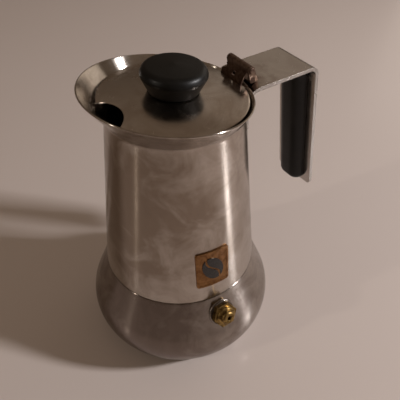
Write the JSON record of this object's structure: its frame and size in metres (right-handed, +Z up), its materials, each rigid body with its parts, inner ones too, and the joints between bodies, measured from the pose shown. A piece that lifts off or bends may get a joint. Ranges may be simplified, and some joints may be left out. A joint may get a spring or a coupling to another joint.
{
  "type": "stovetop espresso maker",
  "caption": "Stovetop coffee maker: bellied boiler with a safety valve, conical pot screwed on top, hinged knobbed lid and a strip handle with a grip.",
  "frame": {"origin": "centre of the boiler's flat underside", "axes": "+Z up along the pot's axis, +X towards the handle and the lid hinge, -X towards the pouring spout, -Y towards the safety valve and the badge"},
  "size_m": [0.14, 0.1063, 0.1708],
  "materials": {
    "steel_boiler": "dull polished stainless steel",
    "steel_pot": "polished stainless steel",
    "steel_handle": "polished stainless steel",
    "steel_inner": "satin stainless steel",
    "steel_hinge": "heat-stained and rusty sheet steel",
    "steel_spring": "drawn spring wire",
    "steel_badge": "embossed sheet steel",
    "dark_badge": "dark enamel",
    "phenolic": "worn black phenolic",
    "brass_valve": "tarnished brass",
    "silicone": "translucent white silicone",
    "fibre": "dark sealing washer"
  },
  "bodies": {
    "boiler": {"boiler": "steel_boiler", "valve_body": "brass_valve", "valve_washer": "fibre", "valve_nut": "brass_valve", "valve_seat": "brass_valve", "valve_spring": "steel_spring"},
    "plunger": {"valve_plunger": "brass_valve"},
    "funnel": {"funnel": "steel_inner", "funnel_sieve": "steel_inner"},
    "gasket": {"gasket": "silicone", "filter_plate": "steel_inner"},
    "pot": {"pot": "steel_pot", "thread_ring": "steel_inner", "pot_floor": "steel_inner", "coffee_column": "steel_inner", "column_cap": "steel_inner", "handle_strip": "steel_handle", "grip": "phenolic", "grip_screws": "steel_inner", "hinge_bracket": "steel_hinge", "hinge_pin": "steel_hinge", "badge_plate": "steel_badge", "badge_bean": "dark_badge"},
    "lid": {"lid": "steel_pot", "knob": "phenolic", "knob_washer": "steel_inner", "knob_screw": "steel_inner", "hinge_leaf": "steel_hinge"}
  },
  "joints": [
    {"name": "collector_lift", "type": "slide", "parent": "boiler", "child": "funnel", "axis": [0, 0, 1], "range_m": [0, 0.15]},
    {"name": "thread_rise", "type": "slide", "parent": "funnel", "child": "gasket", "axis": [0, 0, 1], "range_m": [0, 0.0061]},
    {"name": "collector_turn", "type": "hinge", "parent": "gasket", "child": "pot", "pos_m": [0, 0, 0.06], "axis": [0, 0, 1], "range_deg": [0, 720]},
    {"name": "lid_hinge", "type": "hinge", "parent": "pot", "child": "lid", "pos_m": [0.03724, 0, 0.1598], "axis": [0, 1, 0], "range_deg": [0, 105]},
    {"name": "plunger_lift", "type": "slide", "parent": "boiler", "child": "plunger", "axis": [-0.0563, -0.9208, 0.3859], "range_m": [0, 0.0016], "stiffness_N_per_m": 3000, "springref_m": -0.002, "deforming": ["valve_spring"]}
  ],
  "couplings": [
    {"joint": "thread_rise", "follows": "collector_turn", "m_per_rad": 0.00047746}
  ]
}
